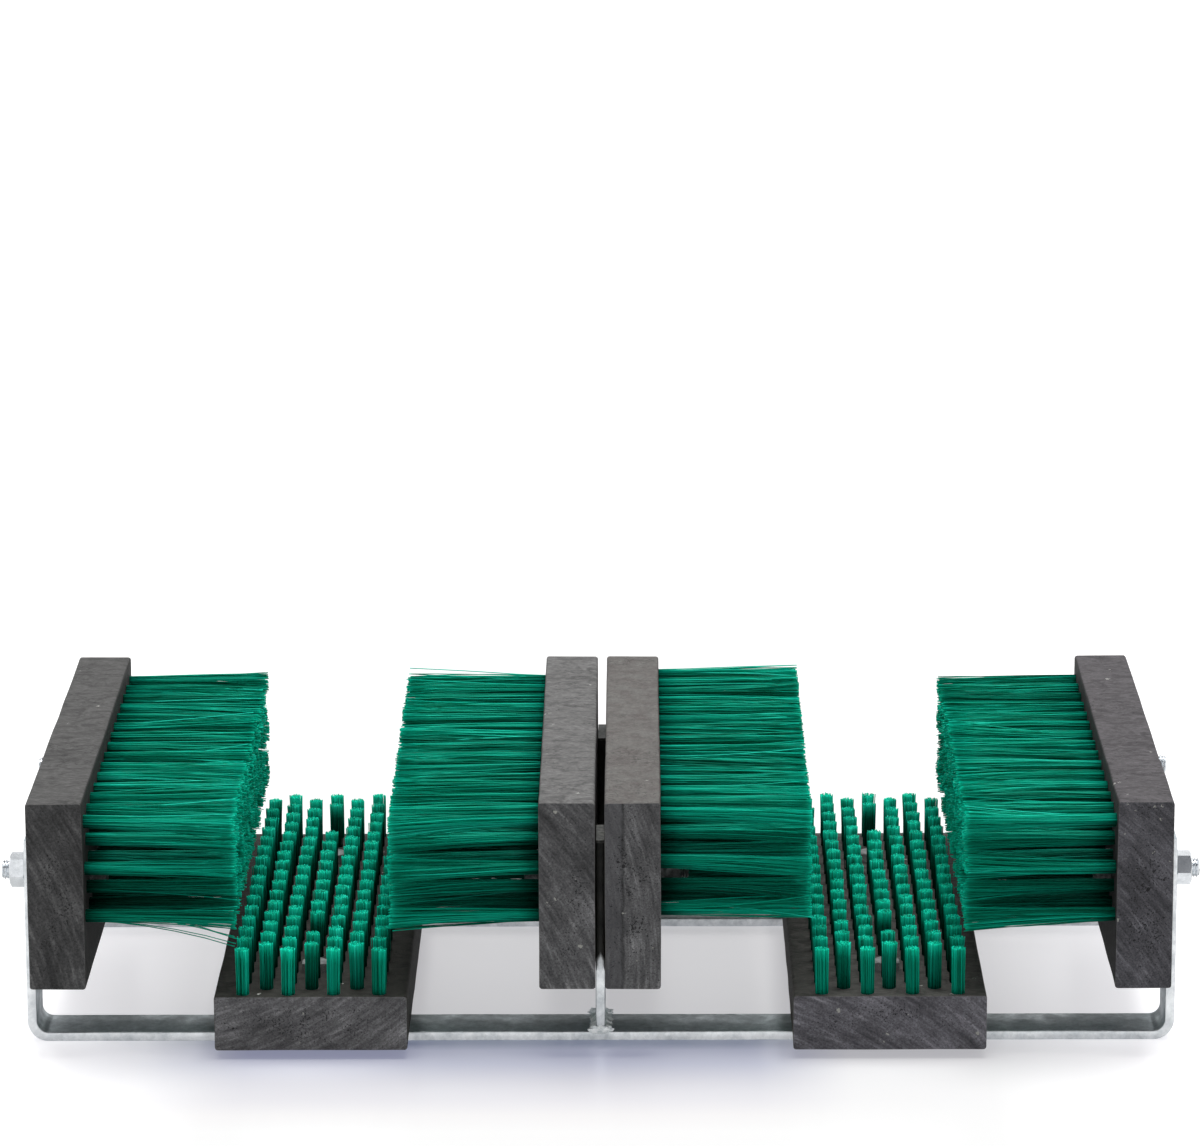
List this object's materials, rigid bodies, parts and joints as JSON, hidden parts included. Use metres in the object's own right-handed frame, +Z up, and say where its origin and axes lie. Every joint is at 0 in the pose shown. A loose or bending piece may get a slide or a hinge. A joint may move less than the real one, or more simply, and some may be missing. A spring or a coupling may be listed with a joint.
{
  "type": "boot scraper",
  "caption": "Free-standing double boot scraper with two brush bays of tufted boards bolted into a frame of flat bar.",
  "frame": {"origin": "on the ground, in the middle of the boards' plan and midway between the bolt ends", "axes": "+X across the two bays from left to right, +Y from the front to the back, the way a boot is drawn through, +Z up"},
  "size_m": [0.627, 0.3, 0.138],
  "materials": {
    "galvanised_steel": "hot-dip galvanised, mottled and part worn",
    "recycled_plastic": "sawn and planed recycled plastic plank",
    "bristle": "green synthetic filament",
    "zinc_plate": "bright zinc plate"
  },
  "bodies": {
    "root": {"front_frame_bar": "galvanised_steel", "rear_frame_bar": "galvanised_steel", "front_centre_upright": "galvanised_steel", "rear_centre_upright": "galvanised_steel", "left_outer_board": "recycled_plastic", "left_inner_board": "recycled_plastic", "left_base_board": "recycled_plastic", "right_outer_board": "recycled_plastic", "right_inner_board": "recycled_plastic", "right_base_board": "recycled_plastic", "left_outer_bristles": "bristle", "left_inner_bristles": "bristle", "left_base_bristles": "bristle", "right_outer_bristles": "bristle", "right_inner_bristles": "bristle", "right_base_bristles": "bristle", "left_front_bolt": "zinc_plate", "left_front_washer": "zinc_plate", "left_front_nut": "zinc_plate", "right_front_bolt": "zinc_plate", "right_front_washer": "zinc_plate", "right_front_nut": "zinc_plate", "left_rear_bolt": "zinc_plate", "left_rear_washer": "zinc_plate", "left_rear_nut": "zinc_plate", "right_rear_bolt": "zinc_plate", "right_rear_washer": "zinc_plate", "right_rear_nut": "zinc_plate", "centre_front_bolt": "zinc_plate", "centre_front_head_washer": "zinc_plate", "centre_front_nut_washer": "zinc_plate", "centre_front_nut": "zinc_plate", "centre_rear_bolt": "zinc_plate", "centre_rear_head_washer": "zinc_plate", "centre_rear_nut_washer": "zinc_plate", "centre_rear_nut": "zinc_plate", "left_front_base_bolt": "zinc_plate", "right_front_base_bolt": "zinc_plate", "left_rear_base_bolt": "zinc_plate", "right_rear_base_bolt": "zinc_plate"}
  },
  "joints": []
}
